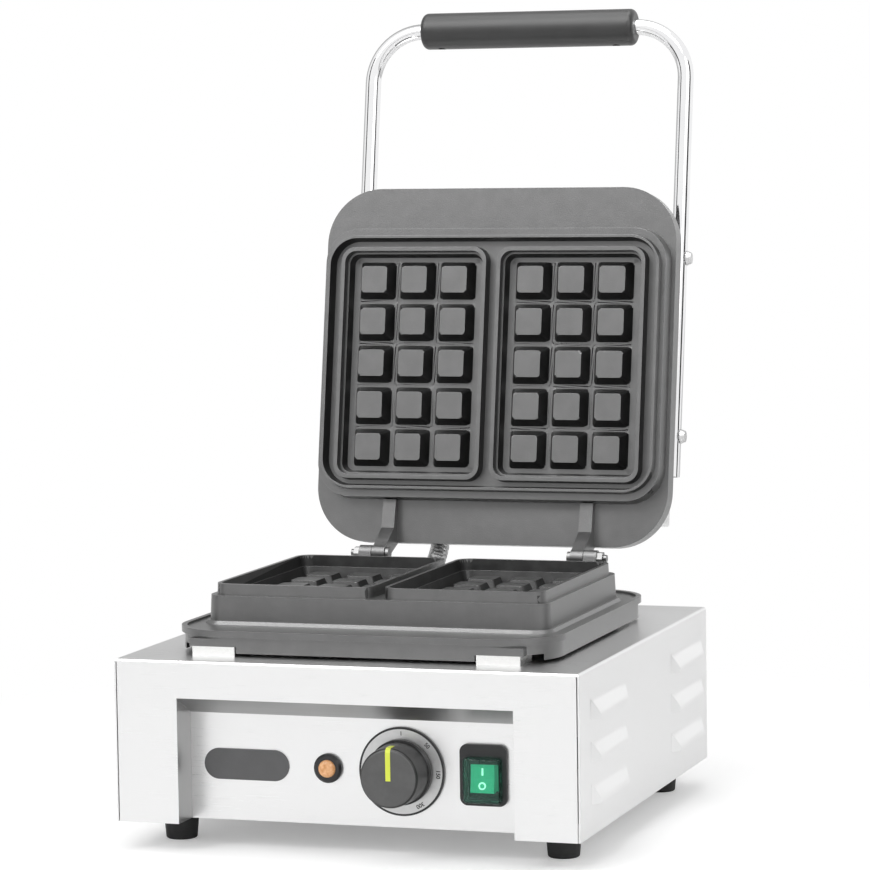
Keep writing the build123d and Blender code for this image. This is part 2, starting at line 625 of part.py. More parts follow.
# Lower cast plate
skirt_low_z = top_z + skirt_over_casing
bracket_top_z = top_z + bracket_h
bracket_x = plate_w / 2 - bracket_inset_x - bracket_w / 2
bracket_spots = [
    (sx * bracket_x, plate_y + sy * (plate_l / 2 - bracket_inset_y - bracket_d / 2))
    for sx in (-1, 1)
    for sy in (-1, 1)
]
hollow_w = 2 * rim_out_x - 4
hollow_l = rim_out_l - 4
main_wall_h = rim_z - 7.2 - flange_z
corner_cut = bracket_d + 13
with BuildPart() as lower_plate:
    with BuildSketch(Plane.XY.offset(skirt_low_z)):
        with Locations((0, plate_y)):
            RectangleRounded(plate_w - 4, plate_l - 4, plate_corner_r - 2)
    extrude(amount=flange_z - 2.6 - skirt_low_z)
    with BuildSketch(Plane.XY.offset(flange_z - 2.6)):
        with Locations((0, plate_y)):
            RectangleRounded(plate_w, plate_l, plate_corner_r)
    extrude(amount=2.6)
    with BuildSketch(Plane.XY.offset(flange_z)):
        with Locations((0, plate_y)):
            RectangleRounded(plate_w, plate_l, plate_corner_r)
            RectangleRounded(plate_w - 7, plate_l - 7, plate_corner_r - 3.5, mode=Mode.SUBTRACT)
    extrude(amount=1.4)
    with BuildSketch(Plane.XY.offset(flange_z)):
        with Locations((0, plate_y)):
            RectangleRounded(2 * rim_out_x + 14, rim_out_l + 14, 13)
    extrude(amount=2.2, taper=30)
    with BuildSketch(Plane.XY.offset(flange_z)):
        with Locations((0, plate_y)):
            RectangleRounded(2 * rim_out_x + 9, rim_out_l + 9, 12)
    extrude(amount=main_wall_h, taper=wall_draft)
    with BuildSketch(Plane.XY.offset(rim_z - 7.2)):
        with Locations((basin_x, plate_y), (-basin_x, plate_y)):
            RectangleRounded(basin_w + 2 * rim_t + 0.8, basin_l + 2 * rim_t + 0.8, rim_r + rim_t)
    extrude(amount=7.2, taper=wall_draft)
    with BuildSketch(Plane.XY.offset(rim_z)):
        with Locations((basin_x, plate_y), (-basin_x, plate_y)):
            RectangleRounded(basin_w, basin_l, rim_r)
    extrude(amount=-lower_lip_depth, taper=4, mode=Mode.SUBTRACT)
    with BuildSketch(Plane.XY.offset(rim_z - lower_lip_depth)):
        with Locations((basin_x, plate_y), (-basin_x, plate_y)):
            RectangleRounded(basin_w - 2 * basin_lip, basin_l - 2 * basin_lip, rim_r - 1.0)
    extrude(amount=-(lower_rim_above + block_h - lower_lip_depth), taper=basin_draft, mode=Mode.SUBTRACT)
    for x in (-basin_x, basin_x):
        with BuildSketch(Plane.XY.offset(floor_z)):
            with Locations((x, plate_y)):
                with GridLocations(block_pitch, block_pitch, block_columns, block_rows):
                    Rectangle(block_base, block_base)
        extrude(amount=block_h, taper=block_draft)
    with BuildSketch(Plane.XY.offset(skirt_low_z)):
        with Locations((0, plate_y)):
            RectangleRounded(plate_w - 10, plate_l - 10, plate_corner_r - 5)
    extrude(amount=flange_z - plate_t - skirt_low_z, mode=Mode.SUBTRACT)
    with BuildSketch(Plane.XY.offset(skirt_low_z)):
        with Locations((0, plate_y)):
            RectangleRounded(hollow_w, hollow_l, 8)
    extrude(amount=floor_z - cast_floor_t - skirt_low_z, mode=Mode.SUBTRACT)
    for x, y in bracket_spots:
        with Locations((x, y, (bracket_top_z + flange_z - plate_t) / 2)):
            Box(bracket_w + 4, bracket_d, flange_z - plate_t - bracket_top_z)
    with BuildSketch(Plane.XY.offset(skirt_low_z)):
        for x, y in bracket_spots:
            out_x, out_y = (1 if x > 0 else -1), (1 if y > plate_y else -1)
            cut_x = x + out_x * (corner_cut - bracket_w) / 2
            cut_y = y + out_y * (corner_cut - bracket_d) / 2
            with Locations((cut_x, cut_y)):
                Rectangle(corner_cut + 2, corner_cut + 2)
    extrude(amount=bracket_top_z - skirt_low_z, mode=Mode.SUBTRACT)
    lug_x = arm_x + arm_w + knuckle_gap
    for side in (-1, 1):
        start = lug_x if side > 0 else -lug_x - lug_w
        with BuildSketch(side_profile(start)):
            with BuildLine():
                Polyline(
                    (plate_y + plate_l / 2 - 28, flange_z - 1),
                    (plate_y + plate_l / 2 - 28, flange_z + 1),
                    (hinge_y - barrel_r - 4, flange_z + 6),
                    (hinge_y - barrel_r * 0.95, hinge_z + barrel_r * 0.3),
                    (hinge_y + barrel_r * 0.95, hinge_z - barrel_r * 0.3),
                    (plate_y + plate_l / 2, flange_z - 1),
                    close=True,
                )
            make_face()
        extrude(amount=lug_w)
        with BuildSketch(side_profile(start)):
            with Locations((hinge_y, hinge_z)):
                Circle(barrel_r)
        extrude(amount=lug_w)
        with BuildSketch(side_profile(start - 1)):
            with Locations((hinge_y, hinge_z)):
                Circle(pin_r + run_fit)
        extrude(amount=lug_w + 2, mode=Mode.SUBTRACT)
    with Locations(*[(x, y, bracket_top_z) for x, y in bracket_spots]):
        Cylinder(2.1, 8, mode=Mode.SUBTRACT)
lower_plate.part.label = "lower_plate"
export_step(lower_plate.part, "parts/lower_plate.step")

# Stand-off brackets between the casing and the plate, with their screws
for name, spot in zip(("front_left", "rear_left", "front_right", "rear_right"), bracket_spots):
    with BuildPart() as bracket:
        with Locations((spot[0], spot[1], top_z + bracket_h / 2)):
            Box(bracket_w, bracket_d, bracket_h)
        with Locations((spot[0], spot[1], top_z + (bracket_h - 1.5) / 2)):
            Box(bracket_w - 3, bracket_d - 3, bracket_h - 1.5, mode=Mode.SUBTRACT)
        with Locations((spot[0], spot[1], top_z + bracket_h)):
            Cylinder(2.1 + clear, 6, mode=Mode.SUBTRACT)
    bracket.part.label = f"plate_bracket_{name}"
    export_step(bracket.part, f"parts/plate_bracket_{name}.step")

with BuildPart() as plate_screws:
    for x, y in bracket_spots:
        with Locations((x, y, top_z + 1.5)):
            Cylinder(3.6, 3.0, align=(Align.CENTER, Align.CENTER, Align.MIN))
        with Locations((x, y, top_z + 1.5)):
            Cylinder(2.05, 8.2, align=(Align.CENTER, Align.CENTER, Align.MIN))
plate_screws.part.label = "plate_screws"
export_step(plate_screws.part, "parts/plate_screws.step")

# Heating element under the lower plate, its clamp and the heat shield
lower_element_z = floor_z - cast_floor_t - element_r
lead_y = plate_y - 40
with BuildPart() as lower_element:
    with BuildLine() as element_path:
        outer_u = FilletPolyline(
            (-element_step / 4, lead_y, lower_element_z),
            (-element_step / 4, plate_y - 62, lower_element_z),
            (-element_run_x, plate_y - 62, lower_element_z),
            (-element_run_x, plate_y + 62, lower_element_z),
            (element_run_x, plate_y + 62, lower_element_z),
            (element_run_x, plate_y - 62, lower_element_z),
            (element_step / 4, plate_y - 62, lower_element_z),
            (element_step / 4, lead_y, lower_element_z),
            radius=element_turn_r * 0.8,
        )
    with BuildSketch(Plane(origin=outer_u @ 0, z_dir=outer_u % 0)):
        Circle(element_r)
    sweep()
lower_element.part.label = "lower_element"
export_step(lower_element.part, "parts/lower_element.step")

clamp_t = 1.5
with BuildPart() as lower_element_clamp:
    with Locations(
        (-element_run_x, plate_y, lower_element_z - element_r - clamp_t / 2),
        (element_run_x, plate_y, lower_element_z - element_r - clamp_t / 2),
    ):
        Box(22, 90, clamp_t)
    with Locations((0, plate_y + 20, lower_element_z - element_r - clamp_t / 2)):
        Box(2 * element_run_x, 20, clamp_t)
    with Locations((0, plate_y + 20, (lower_element_z - element_r + floor_z - cast_floor_t) / 2)):
        Cylinder(4, 2 * element_r)
lower_element_clamp.part.label = "lower_element_clamp"
export_step(lower_element_clamp.part, "parts/lower_element_clamp.step")

bulb_r, capillary_r = 3.0, 1.0
bulb_y = plate_y - 30
capillary_x = dial_x - 42
with BuildPart() as heat_shield:
    with BuildSketch(Plane.XY.offset(top_z)):
        with Locations((0, plate_y)):
            Rectangle(plate_w - 95, plate_l - 55)
            Rectangle(60, 30, mode=Mode.SUBTRACT)
        with Locations((capillary_x, bulb_y)):
            Circle(6, mode=Mode.SUBTRACT)
    extrude(amount=0.8)
    with Locations((0, plate_y + 20, (top_z + 0.8 + lower_element_z - element_r - clamp_t) / 2)):
        Box(74, 18, lower_element_z - element_r - clamp_t - top_z - 0.8)
    with Locations((0, plate_y + 20, (top_z + 0.8 + lower_element_z - element_r - clamp_t) / 2)):
        Box(72, 22, lower_element_z - element_r - clamp_t - top_z - 2.4, mode=Mode.SUBTRACT)
heat_shield.part.label = "heat_shield"
export_step(heat_shield.part, "parts/heat_shield.step")

# Thermostat bulb under the plate, with its capillary down to the thermostat
bulb_z = floor_z - cast_floor_t - bulb_r
with BuildPart() as thermostat_bulb:
    with Locations((dial_x, bulb_y, bulb_z)):
        Cylinder(bulb_r, 60, rotation=(0, 90, 0))
    with BuildLine() as capillary_path:
        capillary = FilletPolyline(
            (dial_x - 30, bulb_y, bulb_z),
            (capillary_x, bulb_y, bulb_z),
            (capillary_x, bulb_y, low_z + 60),
            (capillary_x, panel_y + 60, control_z),
            (dial_x, panel_y + 50, control_z),
            (dial_x, panel_y + sheet + 24, control_z),
            radius=6,
        )
    with BuildSketch(Plane(origin=capillary @ 0, z_dir=capillary % 0)):
        Circle(capillary_r)
    sweep()
thermostat_bulb.part.label = "thermostat_bulb"
export_step(thermostat_bulb.part, "parts/thermostat_bulb.step")

# Terminal block on the base plate and the supply gland in the rear panel
with BuildPart() as terminal_block:
    with Locations((gland_x - 10, rear_y - 60, low_z + sheet + 9)):
        Box(44, 22, 18)
    with Locations((gland_x - 10, rear_y - 60, low_z + sheet + 18)):
        with GridLocations(13, 12, 3, 2):
            Cylinder(2.6, 6, mode=Mode.SUBTRACT)
terminal_block.part.label = "terminal_block"
export_step(terminal_block.part, "parts/terminal_block.step")

with BuildPart() as cable_gland:
    with BuildSketch(Plane.XZ.offset(-rear_y)):
        with Locations((gland_x, gland_z)):
            RegularPolygon(11.5, 6)
    extrude(amount=-6)
    with BuildSketch(Plane.XZ.offset(-rear_y - 6)):
        with Locations((gland_x, gland_z)):
            Circle(9.5)
    extrude(amount=-8, taper=12)
    with BuildSketch(Plane.XZ.offset(-rear_y)):
        with Locations((gland_x, gland_z)):
            Circle(gland_r - run_fit)
    extrude(amount=10)
    with BuildSketch(Plane.XZ.offset(-rear_y - 20)):
        with Locations((gland_x, gland_z)):
            Circle(4.2)
    extrude(amount=40, mode=Mode.SUBTRACT)
cable_gland.part.label = "cable_gland"
export_step(cable_gland.part, "parts/cable_gland.step")

with BuildPart() as gland_nut:
    with BuildSketch(Plane.XZ.offset(-rear_y + sheet)):
        with Locations((gland_x, gland_z)):
            RegularPolygon(11.5, 6)
            Circle(gland_r, mode=Mode.SUBTRACT)
    extrude(amount=5)
gland_nut.part.label = "gland_nut"
export_step(gland_nut.part, "parts/gland_nut.step")

# Upper cast plate, in the lid's plane
frame_in_w = 2 * (rim_out_x + ridge_in)
frame_in_l = rim_out_l + 2 * ridge_in - 4.5
frame_mid = lid_mid + 0.6
with BuildPart() as upper_plate:
    with BuildSketch(lid_level(-lid_flange_depth - plate_t)):
        with Locations((0, lid_mid)):
            RectangleRounded(plate_w, plate_l, plate_corner_r)
    extrude(amount=plate_t)
    with BuildSketch(lid_level(-lid_flange_depth)):
        with Locations((0, frame_mid)):
            RectangleRounded(frame_in_w + 2 * ridge_base_t, frame_in_l + 2 * ridge_base_t + 4, 25)
    extrude(amount=lid_flange_depth - 3, taper=6)
    with BuildSketch(lid_level(-3)):
        with Locations((0, frame_mid)):
            RectangleRounded(frame_in_w + 5, frame_in_l + 5, 22)
    extrude(amount=3 + ridge_over, taper=8)
    with BuildSketch(lid_level(ridge_over)):
        with Locations((0, frame_mid)):
            RectangleRounded(frame_in_w, frame_in_l, 19)
    extrude(amount=-(ridge_over + groove_depth), taper=10, mode=Mode.SUBTRACT)
    with BuildSketch(lid_level(-groove_depth)):
        with Locations((basin_x, lid_mid), (-basin_x, lid_mid)):
            RectangleRounded(basin_w + 2 * rim_t + 1.6, basin_l + 2 * rim_t + 1.6, rim_r + rim_t)
    extrude(amount=groove_depth + rim_above, taper=5)
    with BuildSketch(lid_level(rim_above)):
        with Locations((basin_x, lid_mid), (-basin_x, lid_mid)):
            RectangleRounded(basin_w, basin_l, rim_r)
    extrude(amount=-basin_lip_depth, taper=4, mode=Mode.SUBTRACT)
    with BuildSketch(lid_level(rim_above - basin_lip_depth)):
        with Locations((basin_x, lid_mid), (-basin_x, lid_mid)):
            RectangleRounded(basin_w - 2 * basin_lip, basin_l - 2 * basin_lip, rim_r - 1.0)
    extrude(amount=-(rim_above + block_h - basin_lip_depth), taper=basin_draft, mode=Mode.SUBTRACT)
    for x in (-basin_x, basin_x):
        with BuildSketch(lid_level(-block_h)):
            with Locations((x, lid_mid)):
                with GridLocations(block_pitch, block_pitch, block_columns, block_rows):
                    Rectangle(block_base, block_base)
        extrude(amount=block_h, taper=block_draft)
    with BuildSketch(lid_level(-lid_flange_depth)):
        with Locations((0, lid_mid)):
            RectangleRounded(plate_w, plate_l, plate_corner_r)
            RectangleRounded(
                plate_w - 2 * skirt_t, plate_l - 2 * skirt_t, plate_corner_r - skirt_t, mode=Mode.SUBTRACT
            )
    extrude(amount=-lid_skirt)
    for side in (-1, 1):
        start = arm_x if side > 0 else -arm_x - arm_w
        with BuildSketch(lid_profile(start)):
            with BuildLine():
                Polyline(
                    (lid_low + 30, -lid_flange_depth - 1),
                    (lid_low + 30, -lid_flange_depth + 6),
                    (lid_low + 10, -lid_flange_depth + 8),
                    (hinge_v + barrel_r * 0.9, hinge_out + barrel_r * 0.3),
                    (hinge_v - barrel_r * 0.9, hinge_out - barrel_r * 0.3),
                    (lid_low, -lid_flange_depth - 3),
                    close=True,
                )
            make_face()
        extrude(amount=arm_w)
        with BuildSketch(lid_profile(start)):
            with Locations((hinge_v, hinge_out)):
                Circle(barrel_r)
        extrude(amount=arm_w)
        with BuildSketch(lid_profile(start - 1)):
            with Locations((hinge_v, hinge_out)):
                Circle(pin_r + run_fit)
        extrude(amount=arm_w + 2, mode=Mode.SUBTRACT)
upper_plate.part.label = "upper_plate"
export_step(upper_plate.part, "parts/upper_plate.step")

# Hinge pins with a head on the inside and a nut on the outside
pin_in = arm_x - knuckle_gap
pin_out = lug_x + lug_w
for name, side in (("left", -1), ("right", 1)):
    with BuildPart() as hinge_pin:
        with BuildSketch(side_profile(side * (pin_in - 2.2))):
            with Locations((hinge_y, hinge_z)):
                Circle(4.2)
        extrude(amount=side * 2.2)
        with BuildSketch(side_profile(side * pin_in)):
            with Locations((hinge_y, hinge_z)):
                Circle(pin_r)
        extrude(amount=side * (pin_out + 6.5 - pin_in))
    hinge_pin.part.label = f"hinge_pin_{name}"
    export_step(hinge_pin.part, f"parts/hinge_pin_{name}.step")
    with BuildPart() as hinge_nut:
        with BuildSketch(side_profile(side * pin_out)):
            with Locations((hinge_y, hinge_z)):
                RegularPolygon(4.6, 6)
                Circle(pin_r, mode=Mode.SUBTRACT)
        extrude(amount=side * 4.0)
    hinge_nut.part.label = f"hinge_nut_{name}"
    export_step(hinge_nut.part, f"parts/hinge_nut_{name}.step")

# Steel cover behind the upper plate
cover_front = -lid_flange_depth - plate_t
cover_back = cover_front - cover_depth
cover_low = lid_low + cover_inset
cover_l = plate_l - 2 * cover_inset
bolt_spots = [(side, v) for side in (-1, 1) for v in bolt_up]
with BuildPart() as upper_cover:
    with BuildSketch(lid_level(cover_back)):
        with Locations((0, lid_mid)):
            RectangleRounded(2 * cover_hw, cover_l, 2)
    extrude(amount=cover_depth)
    with BuildSketch(lid_level(cover_back + sheet)):
        with Locations((0, lid_mid)):
            RectangleRounded(2 * (cover_hw - sheet), cover_l - 2 * sheet, 1)
    extrude(amount=cover_depth, mode=Mode.SUBTRACT)
    with BuildSketch(lid_profile(-cover_hw - 5)):
        with Locations(*[(v, -leg_depth) for v in bolt_up]):
            Circle(2.5)
    extrude(amount=2 * cover_hw + 10, mode=Mode.SUBTRACT)
    with BuildSketch(lid_edge.offset(cover_low - 2)):
        with Locations((conduit_x, -entry_out)):
            Circle(rib_r + clear)
    extrude(amount=6, mode=Mode.SUBTRACT)
upper_cover.part.label = "upper_cover"
export_step(upper_cover.part, "parts/upper_cover.step")

# Element, clamp and insulation inside the lid
upper_back = -lid_flange_depth - plate_t
with BuildPart() as upper_element:
    with BuildLine():
        u_loop = FilletPolyline(
            *[
                lid_plane.from_local_coords((x, v, upper_back - element_r))
                for x, v in (
                    (-element_step / 4, lid_mid - 10),
                    (-element_step / 4, lid_mid - 62),
                    (-element_run_x, lid_mid - 62),
                    (-element_run_x, lid_mid + 62),
                    (element_run_x, lid_mid + 62),
                    (element_run_x, lid_mid - 62),
                    (element_step / 4, lid_mid - 62),
                    (element_step / 4, lid_mid - 10),
                )
            ],
            radius=element_turn_r * 0.8,
        )
    with BuildSketch(Plane(origin=u_loop @ 0, z_dir=u_loop % 0)):
        Circle(element_r)
    sweep()
upper_element.part.label = "upper_element"
export_step(upper_element.part, "parts/upper_element.step")

clamp_back = upper_back - 2 * element_r
with BuildPart() as upper_element_clamp:
    with BuildSketch(lid_level(clamp_back)):
        with Locations((-element_run_x, lid_mid), (element_run_x, lid_mid)):
            Rectangle(22, 90)
        with Locations((0, lid_mid + 20)):
            Rectangle(2 * element_run_x, 20)
    extrude(amount=-clamp_t)
    with BuildSketch(lid_level(clamp_back)):
        with Locations((0, lid_mid + 20)):
            Circle(4)
    extrude(amount=2 * element_r)
upper_element_clamp.part.label = "upper_element_clamp"
export_step(upper_element_clamp.part, "parts/upper_element_clamp.step")

with BuildPart() as lid_insulation:
    with BuildSketch(lid_level(clamp_back - clamp_t)):
        with Locations((0, lid_mid + 4)):
            Rectangle(2 * cover_hw - 14, cover_l - 48)
    extrude(amount=-25)
lid_insulation.part.label = "lid_insulation"
export_step(lid_insulation.part, "parts/lid_insulation.step")

# Handle: one bent tube bolted to the cover's sides, and its grip
leg_x = cover_hw + tube_r + 0.5
handle_points = [
    lid_plane.from_local_coords((x, v, -leg_depth))
    for x, v in ((-leg_x, leg_low), (-leg_x, grip_up), (leg_x, grip_up), (leg_x, leg_low))
]
with BuildPart() as handle_tube:
    with BuildLine():
        handle_path = FilletPolyline(*handle_points, radius=bend_radius)
    with BuildSketch(Plane(origin=handle_path @ 0, z_dir=handle_path % 0)):
        Circle(tube_r)
        Circle(tube_bore_r, mode=Mode.SUBTRACT)
    sweep()
    with BuildSketch(lid_profile(-leg_x - 20)):
        with Locations(*[(v, -leg_depth) for v in bolt_up]):
            Circle(2.5)
    extrude(amount=2 * leg_x + 40, mode=Mode.SUBTRACT)
handle_tube.part.label = "handle_tube"
export_step(handle_tube.part, "parts/handle_tube.step")

grip_plane = Plane(origin=lid_plane.from_local_coords((-grip_l / 2, grip_up, -leg_depth)), z_dir=(1, 0, 0))
with BuildPart() as handle_grip:
    with BuildSketch(grip_plane):
        Circle(grip_r)
        Circle(tube_r + run_fit, mode=Mode.SUBTRACT)
    extrude(amount=grip_l)
    end_rims = handle_grip.edges().filter_by(GeomType.CIRCLE).group_by(SortBy.RADIUS)[-1]
    fillet(end_rims, radius=grip_end)
    with BuildSketch(lid_edge.offset(grip_up - grip_r)):
        with Locations((grip_hole_x, leg_depth), (-grip_hole_x, leg_depth)):
            Circle(grip_hole_r)
    extrude(amount=grip_hole_depth, mode=Mode.SUBTRACT)
handle_grip.part.label = "handle_grip"
export_step(handle_grip.part, "parts/handle_grip.step")

with BuildPart() as handle_bolts:
    for side, v in bolt_spots:
        with BuildSketch(lid_profile(side * (leg_x + tube_r))):
            with Locations((v, -leg_depth)):
                Circle(5.2)
        extrude(amount=side * 3.2, taper=22)
        with BuildSketch(lid_profile(side * (leg_x + tube_r))):
            with Locations((v, -leg_depth)):
                Circle(2.4)
        extrude(amount=-side * (2 * tube_r + 5))
        with BuildSketch(lid_profile(side * (cover_hw - sheet))):
            with Locations((v, -leg_depth)):
                RegularPolygon(4.6, 6)
        extrude(amount=-side * 3.2)
handle_bolts.part.label = "handle_bolts"
export_step(handle_bolts.part, "parts/handle_bolts.step")

# Ribbed conduit that carries the lid's leads, through a bushing in the casing top
base_entry_y = rear_y - conduit_from_rear
entry_start = Vector(conduit_x, base_entry_y, top_z + 3)
entry_end = lid_plane.from_local_coords(Vector(conduit_x, cover_low - 5, entry_out))
start_way, end_way = Vector(0, 0, 1), Vector(0, lid_rise, lid_lean)
span = entry_end - entry_start
both_ways = start_way + end_way
turn = 2 * (1 - start_way.dot(end_way))
reach = (-span.dot(both_ways) + (span.dot(both_ways) ** 2 + turn * span.dot(span)) ** 0.5) / turn
arc_meeting = (entry_start + start_way * reach + entry_end - end_way * reach) / 2
with BuildPart() as conduit:
    with BuildLine() as conduit_line:
        Line(entry_start - start_way * (conduit_in_base + 3), entry_start)
        TangentArc(entry_start, arc_meeting, tangent=start_way)
        TangentArc(entry_end, arc_meeting, tangent=-end_way)
        Line(entry_end, entry_end + end_way * 14)
    route = conduit_line.wires()[0]
    with BuildSketch(Plane(origin=route @ 0, z_dir=route % 0)):
        Circle(conduit_r)
        Circle(conduit_bore_r, mode=Mode.SUBTRACT)
    sweep(path=route)
    rib_count = int(route.length / rib_pitch)
    for i in range(rib_count):
        at = (i + 0.5) / rib_count
        with BuildSketch(Plane(origin=route @ at, z_dir=route % at)):
            Circle(rib_r)
            Circle((conduit_r + conduit_bore_r) / 2, mode=Mode.SUBTRACT)
        extrude(amount=rib_w / 2, both=True)
conduit.part.label = "conduit"
export_step(conduit.part, "parts/conduit.step")

with BuildPart() as conduit_bushing:
    with BuildSketch(Plane.XY.offset(top_z - 3)):
        with Locations((conduit_x, base_entry_y)):
            Circle(rib_r + 2.0)
            Circle(rib_r + clear, mode=Mode.SUBTRACT)
    extrude(amount=6)
    with BuildSketch(Plane.XY.offset(top_z)):
        with Locations((conduit_x, base_entry_y)):
            Circle(rib_r + 4.5)
            Circle(rib_r + 1.0, mode=Mode.SUBTRACT)
    extrude(amount=2.2)
    with BuildSketch(Plane.XY.offset(top_z - sheet)):
        with Locations((conduit_x, base_entry_y)):
            Circle(rib_r + 3.8)
            Circle(rib_r + 1.0, mode=Mode.SUBTRACT)
    extrude(amount=-1.8)
conduit_bushing.part.label = "conduit_bushing"
export_step(conduit_bushing.part, "parts/conduit_bushing.step")
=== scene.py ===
import json
from math import cos, pi, radians, sin

import bmesh
import bpy
from mathutils import Matrix, Vector


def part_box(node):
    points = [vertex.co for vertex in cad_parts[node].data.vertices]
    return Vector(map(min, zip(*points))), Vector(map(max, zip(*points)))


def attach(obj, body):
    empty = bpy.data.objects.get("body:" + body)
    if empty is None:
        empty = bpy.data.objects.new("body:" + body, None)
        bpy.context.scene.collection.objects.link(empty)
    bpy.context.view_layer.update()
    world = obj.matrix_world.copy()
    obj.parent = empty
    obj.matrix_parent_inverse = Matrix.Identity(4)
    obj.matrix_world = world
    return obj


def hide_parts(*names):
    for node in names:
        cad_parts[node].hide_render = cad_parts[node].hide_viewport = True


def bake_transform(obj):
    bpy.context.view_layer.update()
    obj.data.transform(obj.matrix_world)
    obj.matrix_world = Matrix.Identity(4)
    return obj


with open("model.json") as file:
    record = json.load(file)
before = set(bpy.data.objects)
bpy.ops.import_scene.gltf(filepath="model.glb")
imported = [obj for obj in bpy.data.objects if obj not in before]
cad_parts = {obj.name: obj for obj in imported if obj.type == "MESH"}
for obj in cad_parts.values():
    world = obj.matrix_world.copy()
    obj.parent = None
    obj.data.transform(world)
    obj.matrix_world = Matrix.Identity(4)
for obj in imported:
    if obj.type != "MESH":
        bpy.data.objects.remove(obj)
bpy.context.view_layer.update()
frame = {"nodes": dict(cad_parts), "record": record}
MM = 0.001

# Camera, as the photograph was taken
CAMERA_PLACE = Vector((0.7758, -2.3533, 0.4605))
CAMERA_AZIMUTH = radians(18.41)
CAMERA_ELEVATION = radians(4.92)
CAMERA_ROLL = radians(-0.86)
CAMERA_LENS = 153.77

# How bright the surround is: for diffuse light, and in mirrored views to the left rear
LIGHTING_LEVEL = 0.62
DIM_SURROUND = 0.48
SOFTBOX_LEVEL = 5.0
WHITE = (1, 1, 1, 1)

# Floor, as a half width, and the distances from the object over which it fades to white
FLOOR_SIZE = 6
FADE_START, FADE_END = 0.22, 0.6
FLOOR_LIFT = 0.26

# Stage planes: place, width and height
CARDS = (
    ("left_card", (-1.5, -0.75, 0.6), 0.5, 1.6),
    ("right_card", (1.6, 0.1, 0.6), 0.5, 1.6),
)
SOFTBOX_PLACE, SOFTBOX_AIM = (0, -0.6, 1.7), (0, 0.2, 0.4)
SOFTBOX_WIDTH, SOFTBOX_HEIGHT = 1.8, 0.6

# Lamps: place, diameter and watts, all aimed at the middle of the object
LAMP_AIM = (0, 0, 0.2)
LAMPS = (
    ("key_lamp", (-1.2, -1.8, 2.2), 1.4, 22),
    ("fill_lamp", (1.8, -1.2, 1.4), 1.2, 8),
    ("top_lamp", (0.0, 0.2, 2.4), 1.6, 16),
)

# Blocks of the cast plates
BLOCK_CORNER = 2.0 * MM
BLOCK_HEIGHT = 10.0 * MM
DOUBLE_GAP = 1e-6

# Basins of the lower plate, across and along, and the height of their rims
BASIN_IN, BASIN_OUT = 6.0 * MM, 107.5 * MM
BASIN_HALF_LENGTH = 79 * MM
PLATE_HALF_LENGTH = 125 * MM
RIM_TOP = 162.5 * MM

# The open lid: its lean, its own directions and its hollow, measured from the hinge
LID_TILT = radians(9.855)
LID_OUT = Vector((0, -cos(LID_TILT), sin(LID_TILT)))
LID_UP = Vector((0, sin(LID_TILT), cos(LID_TILT)))
UPRIGHT = Vector((0, 0, 1))
LID_HINGE = Vector((0, 67.45 * MM, 158 * MM))
LID_MIDDLE = 133.65 * MM
LID_FLOOR = -17.3 * MM
HOLLOW_HALF_WIDTH, HOLLOW_HALF_LENGTH = 119 * MM, 87.5 * MM

# Dial: its silver ring, and the marks with the angle at which each stands
DIAL_LIFT = 0.05 * MM
RING_IN, RING_OUT = 20.0 * MM, 26.7 * MM
MARK_RADIUS = 23.9 * MM
MARK_SIZE = 3.7 * MM
MARK_BOLD = 0.07 * MM
DIAL_MARKS = (("I", 0), ("50", 45), ("150", 92), ("300", 150))

# How a face has to look for a painted-shade mask: towards the front, or up out of a casting
FRONTWARD = -0.8
CASTING_TOP, HOLLOW_TOP = 0.85, 0.8
RECESS_OVER_PANEL = 14 * MM
UNDER_RIM, UNDER_FLOOR = 1.5 * MM, 2 * MM

# Widths of the rounded edges
CASING_EDGE, CASTING_EDGE, COVER_EDGE, KNOB_EDGE = 0.35 * MM, 0.7 * MM, 0.5 * MM, 0.3 * MM


def place_camera():
    """Points a camera along the photograph's line of sight, with its small roll."""
    forward = Vector(
        (
            -sin(CAMERA_AZIMUTH) * cos(CAMERA_ELEVATION),
            cos(CAMERA_AZIMUTH) * cos(CAMERA_ELEVATION),
            -sin(CAMERA_ELEVATION),
        )
    )
    level = Vector((cos(CAMERA_AZIMUTH), sin(CAMERA_AZIMUTH), 0))
    upright = level.cross(forward)
    right = cos(CAMERA_ROLL) * level + sin(CAMERA_ROLL) * upright
    up = cos(CAMERA_ROLL) * upright - sin(CAMERA_ROLL) * level
    data = bpy.data.cameras.new("camera")
    data.lens = CAMERA_LENS
    data.sensor_width = 36
    data.clip_end = 50
    camera = bpy.data.objects.new("camera", data)
    bpy.context.collection.objects.link(camera)
    turn = Matrix((right, up, -forward)).transposed().to_4x4()
    camera.matrix_world = Matrix.Translation(CAMERA_PLACE) @ turn
    bpy.context.scene.camera = camera


# Shader helpers


def node(tree, kind, **settings):
    """A new shader node with its settings and, by name or number, its input values."""
    made = tree.nodes.new(kind)
    for key, value in settings.items():
        if key == "inputs":
            for name, number in value.items():
                made.inputs[name].default_value = number
        else:
            setattr(made, key, value)
    return made


def new_material(name, color, roughness, metallic=0.0, **sockets):
    """A material with a Principled shader whose constants stand on its own sockets."""
    material = bpy.data.materials.new(name)
    material.use_nodes = True
    tree = material.node_tree
    shader = tree.nodes["Principled BSDF"]
    shader.inputs["Base Color"].default_value = (*color, 1)
    shader.inputs["Roughness"].default_value = roughness
    shader.inputs["Metallic"].default_value = metallic
    for key, value in sockets.items():
        shader.inputs[key.replace("_", " ").title().replace("Ior", "IOR")].default_value = value
    return material, tree, shader


def object_coords(tree):
    return tree.nodes.new("ShaderNodeTexCoord").outputs["Object"]


